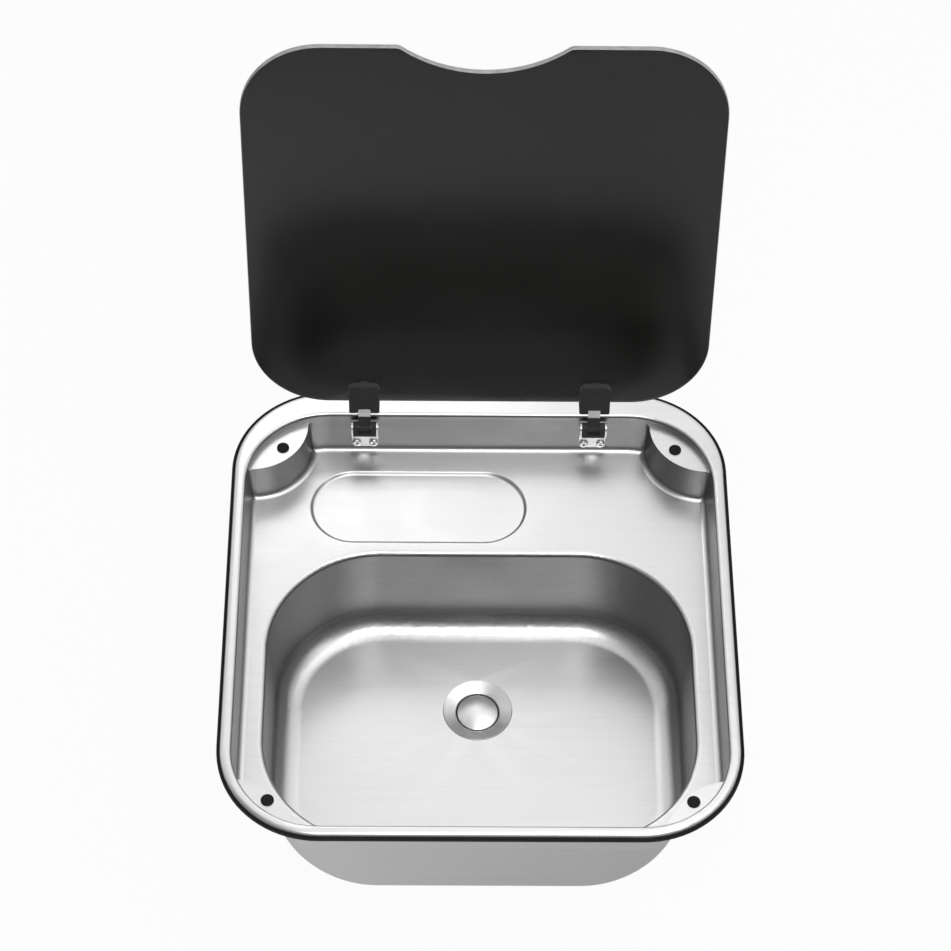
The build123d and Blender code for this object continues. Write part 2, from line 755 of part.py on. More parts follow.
# dished flange with its threaded tube, plug seat, strainer and stem guide
with BuildPart() as waste_flange:
    with BuildSketch(waste_side) as flange_cut:
        Polygon(
            (flange_r, dish_z(flange_r) + top_seal_t),
            (flange_r, dish_z(flange_r) + top_seal_t + flange_t),
            (bore_r, dish_z(bore_r) + top_seal_t + flange_t),
            (bore_r, seat_z),
            (bore_r - seat_w, seat_z),
            (bore_r - seat_w, seat_z - seat_h),
            (bore_r, seat_z - seat_h - seat_w),
            (bore_r, tube_end_z),
            (tube_r, tube_end_z),
            (tube_r, dish_z(tube_r) + top_seal_t),
            align=None,
        )
        fillet(flange_cut.vertices().sort_by(Axis.Y)[-3:-2], flange_edge_r)
    revolve(axis=waste_axis)
    with BuildSketch(Plane.XY.offset(strainer_z)):
        with Locations((0, waste_y)):
            Circle(bore_r)
            with PolarLocations(strainer_pitch_r, strainer_holes):
                Circle(strainer_hole_d / 2, mode=Mode.SUBTRACT)
    extrude(amount=-strainer_t)
    with Locations((0, waste_y, strainer_z)):
        Cylinder(guide_r, guide_h, align=hanging)
        Cylinder(stem_r + running_fit, guide_h, align=hanging, mode=Mode.SUBTRACT)
waste_flange.part.label = "waste_flange"
export_step(waste_flange.part, "parts/waste_flange.step")

with BuildPart() as waste_bottom_seal:
    with BuildSketch(waste_side):
        Polygon(
            (hole_r, under_dish_z(hole_r)),
            (low_seal_r, under_dish_z(low_seal_r)),
            (low_seal_r, low_seal_z),
            (hole_r, low_seal_z),
            align=None,
        )
    revolve(axis=waste_axis)
waste_bottom_seal.part.label = "waste_bottom_seal"
export_step(waste_bottom_seal.part, "parts/waste_bottom_seal.step")

with BuildPart() as waste_back_nut:
    with Locations((0, waste_y, low_seal_z)):
        Cylinder(back_nut_r, back_nut_h, align=hanging)
        with PolarLocations(back_nut_r, nut_lugs):
            Cylinder(nut_lug_r, back_nut_h, align=hanging)
        Cylinder(tube_r + static_fit, back_nut_h, align=hanging, mode=Mode.SUBTRACT)
waste_back_nut.part.label = "waste_back_nut"
export_step(waste_back_nut.part, "parts/waste_back_nut.step")

with BuildPart() as outlet_washer:
    with BuildSketch(Plane.XY.offset(tube_end_z)):
        with Locations((0, waste_y)):
            Circle(tube_r)
            Circle(bore_r, mode=Mode.SUBTRACT)
    extrude(amount=-outlet_washer_t)
outlet_washer.part.label = "outlet_washer"
export_step(outlet_washer.part, "parts/outlet_washer.step")

with BuildPart() as outlet_cup:
    with BuildSketch(waste_side):
        Polygon(
            (cup_flange_r, cup_top_z),
            (cup_flange_r, cup_top_z - cup_flange_t),
            (cup_r, cup_top_z - cup_flange_t),
            (spigot_r, cup_top_z - cup_flange_t - cup_funnel_h),
            (spigot_r, outlet_z),
            (spigot_r - cup_wall, outlet_z),
            (spigot_r - cup_wall, cup_top_z - cup_flange_t - cup_funnel_h),
            (cup_r - cup_wall, cup_top_z - cup_flange_t),
            (cup_r - cup_wall, cup_top_z),
            align=None,
        )
    revolve(axis=waste_axis)
outlet_cup.part.label = "outlet_cup"
export_step(outlet_cup.part, "parts/outlet_cup.step")

with BuildPart() as union_nut:
    with BuildSketch(waste_side):
        Polygon(
            (tube_r + static_fit, tube_end_z + union_grip),
            (union_r, tube_end_z + union_grip),
            (union_r, cup_top_z - cup_flange_t - union_lip),
            (cup_r + hole_fit, cup_top_z - cup_flange_t - union_lip),
            (cup_r + hole_fit, cup_top_z - cup_flange_t),
            (cup_flange_r + hole_fit, cup_top_z - cup_flange_t),
            (cup_flange_r + hole_fit, tube_end_z),
            (tube_r + static_fit, tube_end_z),
            align=None,
        )
    revolve(axis=waste_axis)
    union_l = union_grip + outlet_washer_t + cup_flange_t + union_lip
    with Locations((0, waste_y, tube_end_z + union_grip)):
        with PolarLocations(union_r, nut_lugs):
            Cylinder(union_rib_r, union_l, align=hanging)
        Cylinder(tube_r + static_fit, union_grip, align=hanging, mode=Mode.SUBTRACT)
union_nut.part.label = "union_nut"
export_step(union_nut.part, "parts/union_nut.step")


# ---------------------------------------------------------------- plug
with BuildPart() as plug_dome:
    with BuildSketch(waste_side):
        with BuildLine():
            Polyline(
                (0, plug_edge_z + plug_edge_h + plug_crown),
                (0, seat_z + soft_gap),
                (plug_boss_r, seat_z + soft_gap),
                (plug_boss_r, plug_edge_z),
                (plug_r, plug_edge_z),
                (plug_r, plug_edge_z + plug_edge_h),
            )
            TangentArc(
                (0, plug_edge_z + plug_edge_h + plug_crown),
                (plug_r, plug_edge_z + plug_edge_h),
                tangent=(1, 0),
            )
        make_face()
    revolve(axis=waste_axis)
    fillet(near_z(plug_dome.edges(), plug_edge_z + plug_edge_h), plug_rim_r)
    with Locations((0, waste_y, seat_z + soft_gap)):
        Cylinder(stem_stud_r + static_fit, stem_stud_l + hole_fit, align=standing, mode=Mode.SUBTRACT)
plug_dome.part.label = "plug_dome"
export_step(plug_dome.part, "parts/plug_dome.step")

with BuildPart() as plug_seal:
    with BuildSketch(Plane.XY.offset(plug_edge_z)):
        with Locations((0, waste_y)):
            Circle(plug_seal_r)
            Circle(plug_boss_r + static_fit, mode=Mode.SUBTRACT)
    extrude(amount=-plug_seal_t)
plug_seal.part.label = "plug_seal"
export_step(plug_seal.part, "parts/plug_seal.step")

with BuildPart() as plug_stem:
    with Locations((0, waste_y, seat_z + soft_gap)):
        Cylinder(plug_foot_r, plug_foot_t, align=hanging)
        Cylinder(stem_r, plug_foot_t + stem_l, align=hanging)
        Cylinder(stem_stud_r, stem_stud_l, align=standing)
    fillet(plug_stem.edges().sort_by(Axis.Z)[0], stem_r / 2)
plug_stem.part.label = "plug_stem"
export_step(plug_stem.part, "parts/plug_stem.step")
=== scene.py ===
"""Looks of a drop-in caravan sink with a hinged tinted glass lid.

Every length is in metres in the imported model's own frame: the origin is the centre of the
rim on the worktop plane, +X to the right, +Y to the hinges and +Z up.
"""

import json
import logging
from collections import Counter
from dataclasses import dataclass
from enum import Enum
from math import cos, pi, radians, sin

import bmesh
import bpy
from mathutils import Matrix, Vector


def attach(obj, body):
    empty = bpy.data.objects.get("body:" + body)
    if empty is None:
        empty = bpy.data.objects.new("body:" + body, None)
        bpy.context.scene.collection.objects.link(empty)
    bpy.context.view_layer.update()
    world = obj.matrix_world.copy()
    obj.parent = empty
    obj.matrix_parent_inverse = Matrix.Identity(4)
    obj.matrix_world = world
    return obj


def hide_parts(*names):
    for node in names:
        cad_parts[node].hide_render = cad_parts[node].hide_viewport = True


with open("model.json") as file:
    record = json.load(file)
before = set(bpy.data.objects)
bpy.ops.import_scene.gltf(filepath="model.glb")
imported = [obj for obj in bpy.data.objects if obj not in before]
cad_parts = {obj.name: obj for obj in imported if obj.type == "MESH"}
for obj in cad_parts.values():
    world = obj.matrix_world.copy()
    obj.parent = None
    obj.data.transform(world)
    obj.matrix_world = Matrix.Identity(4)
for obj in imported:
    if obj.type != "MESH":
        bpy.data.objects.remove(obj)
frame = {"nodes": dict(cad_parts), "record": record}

Colour = tuple[float, float, float]

MM = 0.001
MERGE_GAP = 2e-6
UPRIGHT = 90.0
WHITE = (1.0, 1.0, 1.0, 1.0)
LOG = logging.getLogger("sink")


class Body(Enum):
    """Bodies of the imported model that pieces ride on."""

    SINK = "sink"
    LID = "lid"
    PLUG = "plug"


class Slot(Enum):
    """Material slots of the record."""

    PAN_STEEL = "brushed_stainless"
    BRIGHT_STEEL = "polished_stainless"
    HINGE_STEEL = "hinge_steel"
    PLATED = "plated_fasteners"
    HINGE_PLASTIC = "hinge_plastic"
    GLASS = "tinted_glass"
    RUBBER = "black_rubber"
    WASTE_PLASTIC = "waste_plastic"


# ---------------------------------------------------------------- shader groups
class Pen:
    """Adds nodes to one shader tree and joins their sockets."""

    def __init__(self, tree: bpy.types.NodeTree) -> None:
        """Starts on an emptied tree.

        Args:
            tree: The material's or the group's tree.
        """
        self.tree = tree
        tree.nodes.clear()

    def node(self, kind: str, values: dict | None = None, **settings: object) -> bpy.types.Node:
        """Adds one node.

        Args:
            kind: Blender's name of the node's type.
            values: Inputs by name or number, each a plain value or a socket to link.
            **settings: Properties of the node itself.

        Returns:
            The new node.
        """
        node = self.tree.nodes.new(kind)
        for name, value in settings.items():
            setattr(node, name, value)
        for name, value in (values or {}).items():
            self.feed(node.inputs[name], value)
        return node

    def feed(self, socket: bpy.types.NodeSocket, value: object) -> None:
        """Sets an input, or links it where the value is an output socket."""
        if isinstance(value, bpy.types.NodeSocket):
            self.tree.links.new(value, socket)
        else:
            socket.default_value = value

    def maths(self, operation: str, first: object, second: object = 0.0) -> bpy.types.NodeSocket:
        """Adds a Math node and returns its output."""
        return self.node("ShaderNodeMath", {0: first, 1: second}, operation=operation).outputs[0]

    def spread(
        self, value: object, low: object, high: object, to_low: object = 0.0, to_high: object = 1.0
    ) -> bpy.types.NodeSocket:
        """Maps a value from low..high to to_low..to_high and returns the output."""
        names = ("Value", "From Min", "From Max", "To Min", "To Max")
        values = dict(zip(names, (value, low, high, to_low, to_high)))
        return self.node("ShaderNodeMapRange", values).outputs["Result"]

    def tint(self, mask: object, first: object, second: object) -> bpy.types.NodeSocket:
        """Mixes two tones by a mask.

        Args:
            mask: Share of the second tone.
            first: A plain colour, or a socket that gives one.
            second: The same for the second tone.

        Returns:
            The output.
        """
        first, second = (
            tone if isinstance(tone, bpy.types.NodeSocket) else (*tone, 1.0)
            for tone in (first, second)
        )
        mix = self.node("ShaderNodeMix", {0: mask, 6: first, 7: second}, data_type="RGBA")
        return mix.outputs[2]

    def blend(self, mask: object, first: object, second: object) -> bpy.types.NodeSocket:
        """Mixes two numbers by a mask and returns the output."""
        mix = self.node("ShaderNodeMix", {0: mask, 2: first, 3: second}, data_type="FLOAT")
        return mix.outputs[0]


class GroupPen(Pen):
    """Pen on a new shader group with named sockets."""

    def __init__(self, name: str, inputs: tuple[str, ...], outputs: tuple[str, ...]) -> None:
        """Makes the group.

        Args:
            name: The group's name.
            inputs: Names of its inputs, which are numbers apart from Vector.
            outputs: Names of its outputs, which are numbers.
        """
        super().__init__(bpy.data.node_groups.new(name, "ShaderNodeTree"))
        sockets = self.tree.interface
        for label in inputs:
            kind = "NodeSocketVector" if label == "Vector" else "NodeSocketFloat"
            sockets.new_socket(name=label, in_out="INPUT", socket_type=kind)
        for label in outputs:
            sockets.new_socket(name=label, in_out="OUTPUT", socket_type="NodeSocketFloat")
        self.given = self.node("NodeGroupInput")
        self.result = self.node("NodeGroupOutput")

    def give(self, label: str, value: bpy.types.NodeSocket) -> None:
        """Links a value to one of the group's outputs."""
        self.feed(self.result.inputs[label], value)


@dataclass(frozen=True)
class Noise:
    """A noise texture, of which the stretch from low to high is spread to 0..1."""

    detail: float = 2.0
    roughness: float = 0.5
    distortion: float = 0.0
    low: float = 0.3
    high: float = 0.7

    def draw(self, pen: Pen, place: object, scale: object) -> bpy.types.NodeSocket:
        """Adds the texture to a tree.

        Args:
            pen: Pen on the tree.
            place: Socket with the coordinates that it is laid over.
            scale: Its scale, a number or a socket.

        Returns:
            The spread value.
        """
        values = {
            "Vector": place,
            "Scale": scale,
            "Detail": self.detail,
            "Roughness": self.roughness,
            "Distortion": self.distortion,
        }
        texture = pen.node("ShaderNodeTexNoise", values)
        return pen.spread(texture.outputs[0], self.low, self.high)


LINE_NOISE = Noise(detail=4.0, roughness=0.7)
BAND_NOISE = Noise()
PIT_NOISE = Noise(detail=3.0, roughness=0.6)
PATCH_NOISE = Noise(low=0.35, high=0.65)
MARK_NOISE = Noise(detail=4.0, roughness=0.55, distortion=0.6, low=0.35)

BAND_SCALE = 0.16
PATCH_SCALE = 0.05


def brushing_group() -> bpy.types.NodeTree:
    """Fine parallel lines of a brushed surface, along one axis of its Vector input.

    Returns:
        A group with inputs Vector, Along and Across in lines a metre, and outputs Lines
        and Bands.
    """
    pen = GroupPen("brushing", ("Vector", "Along", "Across"), ("Lines", "Bands"))
    given = pen.given.outputs
    sizes = {"X": given["Along"], "Y": given["Across"], "Z": given["Across"]}
    stretch = pen.node("ShaderNodeCombineXYZ", sizes).outputs[0]
    values = {0: given["Vector"], 1: stretch}
    place = pen.node("ShaderNodeVectorMath", values, operation="MULTIPLY").outputs[0]
    pen.give("Lines", LINE_NOISE.draw(pen, place, 1.0))
    pen.give("Bands", BAND_NOISE.draw(pen, place, BAND_SCALE))
    return pen.tree


def grain_group() -> bpy.types.NodeTree:
    """Close pebbled grain of moulded, cast or ground surfaces.

    Returns:
        A group with inputs Vector and Size in grains a metre, and outputs Pits and Patches.
    """
    pen = GroupPen("grain", ("Vector", "Size"), ("Pits", "Patches"))
    given = pen.given.outputs
    coarse = pen.maths("MULTIPLY", given["Size"], PATCH_SCALE)
    pen.give("Pits", PIT_NOISE.draw(pen, given["Vector"], given["Size"]))
    pen.give("Patches", PATCH_NOISE.draw(pen, given["Vector"], coarse))
    return pen.tree


def handling_group() -> bpy.types.NodeTree:
    """Soft cloudy marks that wiping and handling leave on a smooth surface.

    Returns:
        A group with inputs Vector and Size in marks a metre, and the output Marks.
    """
    pen = GroupPen("handling", ("Vector", "Size"), ("Marks",))
    given = pen.given.outputs
    pen.give("Marks", MARK_NOISE.draw(pen, given["Vector"], given["Size"]))
    return pen.tree


@dataclass(frozen=True)
class Groups:
    """The shader groups that the finishes share."""

    brushing: bpy.types.NodeTree
    grain: bpy.types.NodeTree
    handling: bpy.types.NodeTree


GROUPS = Groups(brushing_group(), grain_group(), handling_group())


# ---------------------------------------------------------------- finishes
@dataclass(frozen=True)
class Finish:
    """One finish, which becomes one material."""

    name: str

    def material(self) -> bpy.types.Material:
        """Returns the finish's material, made the first time it is asked for."""
        found = bpy.data.materials.get(self.name)
        if found is None:
            found = bpy.data.materials.new(self.name)
            found.use_nodes = True
            pen = Pen(found.node_tree)
            where = pen.node("ShaderNodeTexCoord").outputs["Object"]
            skin = pen.node("ShaderNodeBsdfPrincipled")
            self.paint(pen, where, skin)
            pen.node("ShaderNodeOutputMaterial", {"Surface": skin.outputs["BSDF"]})
        return found

    def paint(self, pen: Pen, where: bpy.types.NodeSocket, skin: bpy.types.Node) -> None:
        """Sets the shader's inputs; each finish has its own.

        Args:
            pen: Pen on the material's tree.
            where: Object coordinates.
            skin: The Principled shader.
        """
        raise NotImplementedError

    def grain_over(self, pen: Pen, where: bpy.types.NodeSocket, size: float) -> bpy.types.Node:
        """Lays the shared grain, of that many grains a metre, and returns its node."""
        return pen.node("ShaderNodeGroup", {"Vector": where, "Size": size}, node_tree=GROUPS.grain)

    def marks_over(
        self, pen: Pen, where: bpy.types.NodeSocket, size: float
    ) -> bpy.types.NodeSocket:
        """Lays the shared handling marks, of that many a metre, and returns their mask."""
        values = {"Vector": where, "Size": size}
        return pen.node("ShaderNodeGroup", values, node_tree=GROUPS.handling).outputs["Marks"]

    def gloss(self, pen: Pen, skin: bpy.types.Node, mask: object, low: float, swing: float) -> None:
        """Varies the shader's roughness with a mask, from low up by the swing."""
        pen.feed(skin.inputs["Roughness"], pen.spread(mask, 0.0, 1.0, low, low + swing))

    def relief(
        self, pen: Pen, skin: bpy.types.Node, height: object, depth: float, strength: float
    ) -> None:
        """Feeds a bump of that depth in metres to the shader's normal."""
        values = {"Height": height, "Distance": depth, "Strength": strength}
        pen.feed(skin.inputs["Normal"], pen.node("ShaderNodeBump", values).outputs["Normal"])


@dataclass(frozen=True)
class BrushedSteel(Finish):
    """Stainless sheet with a satin brush, and painted shade that makes its steep walls darker than
    its ground flats, most where they face inwards.
    """

    light: Colour = (0.82, 0.82, 0.825)
    dark: Colour = (0.74, 0.74, 0.745)
    # Painted shade: steep walls take these much darker tones, less so where they face outwards.
    shaded_wall_light: Colour = (0.235, 0.23, 0.23)
    shaded_wall_dark: Colour = (0.18, 0.175, 0.175)
    flat_from: float = 0.9
    wall_from: float = 0.35
    outside_gain: float = 0.55
    outside_blend: float = 0.02
    side_from: float = 0.45
    side_full: float = 0.8
    line_share: float = 0.6
    band_share: float = 0.5
    roughness: float = 0.36
    roughness_swing: float = 0.08
    along: float = 45.0
    across: float = 1700.0
    depth: float = 4e-6
    bump: float = 1.0
    marks: float = 16.0

    def brush(
        self, pen: Pen, where: bpy.types.NodeSocket, side: bpy.types.NodeSocket
    ) -> tuple[bpy.types.NodeSocket, bpy.types.NodeSocket]:
        """Lays brush lines along X, and along Y on the walls that face sideways.

        Args:
            pen: Pen on the material's tree.
            where: Object coordinates.
            side: X of the surface's normal.

        Returns:
            The fine lines and the broad bands.
        """
        turned = pen.node("ShaderNodeMapping", {"Vector": where, "Rotation": (0.0, 0.0, pi / 2)})
        sizes = {"Along": self.along, "Across": self.across}
        ahead, aside = (
            pen.node("ShaderNodeGroup", {"Vector": place, **sizes}, node_tree=GROUPS.brushing)
            for place in (where, turned.outputs[0])
        )
        sideways = pen.spread(pen.maths("ABSOLUTE", side), self.side_from, self.side_full)
        lines = pen.blend(sideways, ahead.outputs["Lines"], aside.outputs["Lines"])
        bands = pen.blend(sideways, ahead.outputs["Bands"], aside.outputs["Bands"])
        return lines, bands

    def walls(
        self, pen: Pen, where: bpy.types.NodeSocket, normal: bpy.types.NodeSocket, rise: object
    ) -> bpy.types.NodeSocket:
        """Masks the steep walls for painted shade, and less so where they face away from the sink's
        middle.

        Args:
            pen: Pen on the material's tree.
            where: Object coordinates.
            normal: The surface's normal.
            rise: Z of that normal.

        Returns:
            The mask, which is 1 on a steep wall that faces inwards.
        """
        values = {0: normal, 1: where}
        outward = pen.node("ShaderNodeVectorMath", values, operation="DOT_PRODUCT").outputs["Value"]
        edge = self.outside_blend
        inside = pen.spread(outward, -edge, edge, 1.0, 1.0 - self.outside_gain)
        steep = pen.spread(pen.maths("ABSOLUTE", rise), self.flat_from, self.wall_from)
        return pen.maths("MULTIPLY", steep, inside)

    def paint(self, pen: Pen, where: bpy.types.NodeSocket, skin: bpy.types.Node) -> None:
        """Brushes the whole sheet and paints shade on its steep walls."""
        normal = pen.node("ShaderNodeNewGeometry").outputs["Normal"]
        facing = pen.node("ShaderNodeSeparateXYZ", {0: normal}).outputs
        lines, bands = self.brush(pen, where, facing["X"])
        tone = pen.blend(self.line_share, bands, lines)
        ground = pen.tint(tone, self.dark, self.light)
        # Painted shade: the steep walls get the darker tones.
        shaded_walls = pen.tint(tone, self.shaded_wall_dark, self.shaded_wall_light)
        walls = self.walls(pen, where, normal, facing["Z"])
        pen.feed(skin.inputs["Base Color"], pen.tint(walls, ground, shaded_walls))
        haze = pen.blend(self.band_share, self.marks_over(pen, where, self.marks), bands)
        smoothest = self.roughness - self.roughness_swing / 2
        self.gloss(pen, skin, haze, smoothest, self.roughness_swing)
        skin.inputs["Metallic"].default_value = 1.0
        self.relief(pen, skin, lines, self.depth, self.bump)


@dataclass(frozen=True)
class BrightMetal(Finish):
    """Polished or plated metal with a faint haze and wiping marks."""

    roughness: float
    light: Colour = (0.95, 0.95, 0.95)
    dark: Colour = (0.88, 0.88, 0.88)
    haze: float = 0.1
    grain: float = 1500.0
    marks: float = 90.0
    depth: float = 2e-6
    bump: float = 0.6

    def paint(self, pen: Pen, where: bpy.types.NodeSocket, skin: bpy.types.Node) -> None:
        """Grain tints the metal a little and wiping marks vary its gloss."""
        grain = self.grain_over(pen, where, self.grain)
        tone = pen.tint(grain.outputs["Patches"], self.dark, self.light)
        pen.feed(skin.inputs["Base Color"], tone)
        marks = self.marks_over(pen, where, self.marks)
        self.gloss(pen, skin, marks, self.roughness, self.haze)
        skin.inputs["Metallic"].default_value = 1.0
        self.relief(pen, skin, grain.outputs["Pits"], self.depth, self.bump)


@dataclass(frozen=True)
class Moulded(Finish):
    """Black plastic or rubber with a moulded grain."""

    light: Colour
    dark: Colour
    roughness: float
    roughness_swing: float = 0.14
    specular: float = 0.5
    grain: float = 3500.0
    marks: float = 60.0
    depth: float = 1.2e-5
    bump: float = 0.5

    def paint(self, pen: Pen, where: bpy.types.NodeSocket, skin: bpy.types.Node) -> None:
        """Grain pits the surface and pales it in patches, and handling marks dull it."""
        grain = self.grain_over(pen, where, self.grain)
        pits = grain.outputs["Pits"]
        tone = pen.maths("MULTIPLY", pits, grain.outputs["Patches"])
        pen.feed(skin.inputs["Base Color"], pen.tint(tone, self.dark, self.light))
        marks = self.marks_over(pen, where, self.marks)
        self.gloss(pen, skin, marks, self.roughness, self.roughness_swing)
        skin.inputs["Specular IOR Level"].default_value = self.specular
        self.relief(pen, skin, pits, self.depth, self.bump)


@dataclass(frozen=True)
class TintedGlass(Finish):
    """Dark toughened glass that lets a trace of light through."""

    light: Colour = (0.012, 0.0115, 0.01)
    dark: Colour = (0.009, 0.0088, 0.0078)
    roughness: float = 0.03
    wipe: float = 0.03
    specular: float = 0.5
    ior: float = 1.5
    marks: float = 14.0
    depth: float = 2e-6
    bump: float = 0.3

    def paint(self, pen: Pen, where: bpy.types.NodeSocket, skin: bpy.types.Node) -> None:
        """Wiping marks change the gloss by a hair, and the float is not quite flat."""
        marks = self.marks_over(pen, where, self.marks)
        pen.feed(skin.inputs["Base Color"], pen.tint(marks, self.dark, self.light))
        self.gloss(pen, skin, marks, self.roughness, self.wipe)
        skin.inputs["Transmission Weight"].default_value = 1.0
        skin.inputs["IOR"].default_value = self.ior
        skin.inputs["Specular IOR Level"].default_value = self.specular
        self.relief(pen, skin, marks, self.depth, self.bump)


@dataclass(frozen=True)
class GroundEdge(Finish):
    """Ground and polished edge of the glass, pale where it scatters light."""

    light: Colour = (0.42, 0.43, 0.42)
    dark: Colour = (0.3, 0.31, 0.3)
    roughness: float = 0.3
    haze: float = 0.1
    grain: float = 2600.0
    depth: float = 6e-6
    bump: float = 0.5

    def paint(self, pen: Pen, where: bpy.types.NodeSocket, skin: bpy.types.Node) -> None:
        """Fine grinding grain under a half-polished surface."""
        grain = self.grain_over(pen, where, self.grain)
        patches = grain.outputs["Patches"]
        pen.feed(skin.inputs["Base Color"], pen.tint(patches, self.dark, self.light))
        self.gloss(pen, skin, patches, self.roughness, self.haze)
        self.relief(pen, skin, grain.outputs["Pits"], self.depth, self.bump)


PAN_STEEL = BrushedSteel("pan_steel")
FLANGE_STEEL = BrightMetal("flange_steel", roughness=0.32)
HINGE_STEEL = BrightMetal(
    "hinge_steel",
    roughness=0.3,
    light=(0.94, 0.94, 0.94),
    dark=(0.86, 0.86, 0.86),
)
PLATED = BrightMetal("plated", roughness=0.14)
HINGE_PLASTIC = Moulded(
    "hinge_plastic",
    light=(0.003, 0.003, 0.003),
    dark=(0.0015, 0.0015, 0.0015),
    roughness=0.16,
    roughness_swing=0.08,
    specular=0.12,
    depth=5e-6,
)
WASTE_PLASTIC = Moulded(
    "waste_plastic",
    light=(0.04, 0.04, 0.042),
    dark=(0.022, 0.022, 0.023),
    roughness=0.4,
)
RUBBER = Moulded(
    "rubber",
    light=(0.007, 0.007, 0.007),
    dark=(0.003, 0.003, 0.003),
    roughness=0.5,
    specular=0.2,
    grain=2200.0,
)
GLASS = TintedGlass("lid_glass")
GLASS_UNDER = TintedGlass(
    "lid_glass_under",
    light=(0.0085, 0.0082, 0.0072),
    dark=(0.0065, 0.0062, 0.0054),
    roughness=0.17,
    specular=0.35,
)
GLASS_EDGE = GroundEdge("lid_glass_edge")

SLOT_FINISH = {
    Slot.PAN_STEEL: PAN_STEEL,
    Slot.BRIGHT_STEEL: FLANGE_STEEL,
    Slot.HINGE_STEEL: HINGE_STEEL,
    Slot.PLATED: PLATED,
    Slot.HINGE_PLASTIC: HINGE_PLASTIC,
    Slot.GLASS: GLASS,
    Slot.RUBBER: RUBBER,
    Slot.WASTE_PLASTIC: WASTE_PLASTIC,
}


# ---------------------------------------------------------------- making pieces
def finished_piece(
    name: str, bm: bmesh.types.BMesh, body: Body, slot: Slot, crease: float
) -> bpy.types.Object:
    """Turns a finished bmesh into a shaded piece that rides on its body.

    Args:
        name: The piece's name.
        bm: Its shape, which is freed.
        body: The body it moves with.
        slot: The record's slot that its finish comes from.
        crease: Angle in degrees past which an edge stays sharp.

    Returns:
        The new object.
    """
    mesh = bpy.data.meshes.new(name)
    for face in bm.faces:
        face.smooth = True
    bm.to_mesh(mesh)
    bm.free()
    mesh.set_sharp_from_angle(angle=radians(crease))
    mesh.materials.clear()
    mesh.materials.append(SLOT_FINISH[slot].material())
    piece = bpy.data.objects.new(name, mesh)
    bpy.context.scene.collection.objects.link(piece)
    flats = piece.modifiers.new("flats", "WEIGHTED_NORMAL")
    flats.keep_sharp = True
    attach(piece, body.value)
    LOG.info("%s: %d faces, on %s, %s", name, len(mesh.polygons), body.value, slot.value)
    return piece


def merged_node(node: str) -> bmesh.types.BMesh:
    """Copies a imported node's mesh and merges its loose triangles.

    Args:
        node: The node's name.

    Returns:
        The copy, still to be freed.
    """
    bm = bmesh.new()
    bm.from_mesh(frame["nodes"][node].data)
    for layer in list(bm.loops.layers.float_vector.values()):
        bm.loops.layers.float_vector.remove(layer)
    bmesh.ops.remove_doubles(bm, verts=bm.verts, dist=MERGE_GAP)
    return bm


def node_heights(node: str) -> tuple[float, float]:
    """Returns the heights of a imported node's lowest and highest points."""
    heights = [vert.co.z for vert in frame["nodes"][node].data.vertices]
    return min(heights), max(heights)


@dataclass
class Assembly:
    """Sub-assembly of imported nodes, each stood in for by a smooth, dressed copy."""

    parts: tuple[str, ...] = ()
    crease: float = 30.0

    def node_slot(self, node: str) -> Slot:
        """Returns the slot that the record gives a node."""
        slots = {part["node"]: part["material_slot"] for part in frame["record"]["subparts"]}
        return Slot(slots[node])

    def node_body(self, node: str) -> Body:
        """Returns the body that the record gives a node."""
        bodies = frame["record"]["behaviour"]["bodies"]
        return Body(next(name for name, nodes in bodies.items() if node in nodes))

    def dress(self, node: str, bm: bmesh.types.BMesh | None = None) -> bpy.types.Object:
        """Stands a merged and shaded copy in for a node.

        The lid's copies are left out of the steel's reflections, as in the photograph.

        Args:
            node: The node's name.
            bm: The copy where it has been worked on, or None for the plain copy.

        Returns:
            The new object.
        """
        shape = bm or merged_node(node)
        body = self.node_body(node)
        piece = finished_piece(f"{node}_skin", shape, body, self.node_slot(node), self.crease)
        piece.visible_glossy = body is not Body.LID
        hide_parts(node)
        return piece

    def build(self) -> None:
        """Dresses the parts in turn."""
        for part in self.parts:
            self.dress(part)


@dataclass
class PanAssembly(Assembly):
    """Pressed pan with its rim seal and the lid's bumpers."""

    parts: tuple[str, ...] = (
        "rim_seal",
        "front_left_bumper",
        "front_right_bumper",
        "rear_left_bumper",
        "rear_right_bumper",
    )
    ledge_z: float = -3.0 * MM
    ledge_round: float = 1.1 * MM
    ledge_round_steps: int = 4
    ledge_profile: float = 0.5
    level_gap: float = 0.02 * MM
    wall_turn: float = 60.0

    def at_ledge(self, place: Vector) -> bool:
        """Tells whether a point lies at the ledges' level."""
        return abs(place.z - self.ledge_z) < self.level_gap

    def soften_ledges(self, bm: bmesh.types.BMesh) -> None:
        """Rounds the pressed edge where the ledges drop to the deck.

        Args:
            bm: The merged pan.
        """
        edges = [
            edge
            for edge in bm.edges
            if edge.is_manifold
            and all(self.at_ledge(vert.co) for vert in edge.verts)
            and edge.is_convex
            and edge.calc_face_angle() > radians(self.wall_turn)
        ]
        bmesh.ops.bevel(
            bm,
            geom=edges,
            offset=self.ledge_round,
            segments=self.ledge_round_steps,
            profile=self.ledge_profile,
            affect="EDGES",
            material=-1,
            clamp_overlap=True,
        )
        LOG.info("ledges: %d edges rounded", len(edges))

    def keep_ledges_flat(self, mesh: bpy.types.Mesh) -> None:
        """Marks the outline of each ledge sharp, so that the bends round it don't shade its flat.

        Args:
            mesh: The finished pan.
        """
        flats_beside = Counter()
        for face in mesh.polygons:
            if all(self.at_ledge(mesh.vertices[index].co) for index in face.vertices):
                flats_beside.update(face.edge_keys)
        for edge in mesh.edges:
            if flats_beside[edge.key] == 1:
                edge.use_edge_sharp = True

    def build(self) -> None:
        """Makes the pan, the seal and the four bumpers."""
        shape = merged_node("sink_pan")
        self.soften_ledges(shape)
        pan = self.dress("sink_pan", shape)
        self.keep_ledges_flat(pan.data)
        super().build()


